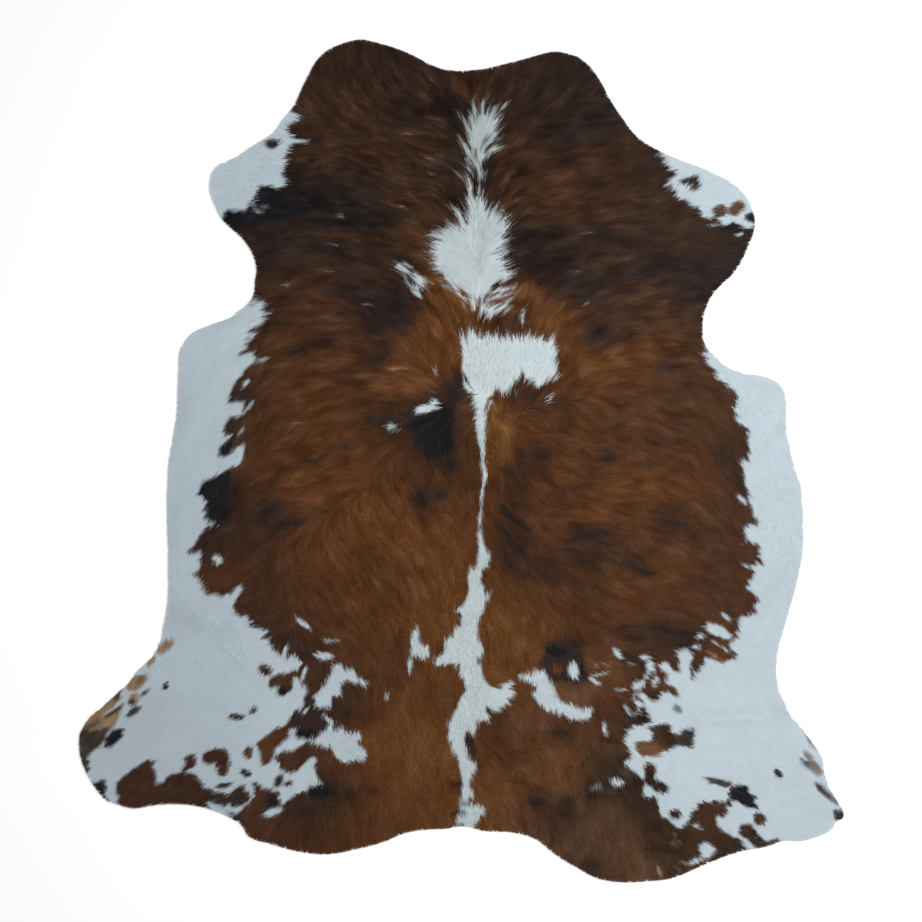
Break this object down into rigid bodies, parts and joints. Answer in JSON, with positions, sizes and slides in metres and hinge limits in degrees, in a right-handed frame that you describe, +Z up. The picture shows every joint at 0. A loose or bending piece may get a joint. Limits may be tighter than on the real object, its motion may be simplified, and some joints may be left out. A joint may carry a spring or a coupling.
{
  "type": "cowhide rug",
  "caption": "Whole hide rug, hair on, trimmed to its natural outline with neck, leg and rump lobes, lying flat.",
  "frame": {"origin": "centre of the bounding box on the floor plane, under the hide", "axes": "+Y along the backbone towards the neck, +X across the hide, +Z up through the hair side"},
  "size_m": [1.9975, 2.2001, 0.01],
  "materials": {
    "haired_hide": "short brindle brown and white hair on tanned skin, suede underside"
  },
  "bodies": {
    "root": {"hide": "haired_hide"}
  },
  "joints": []
}
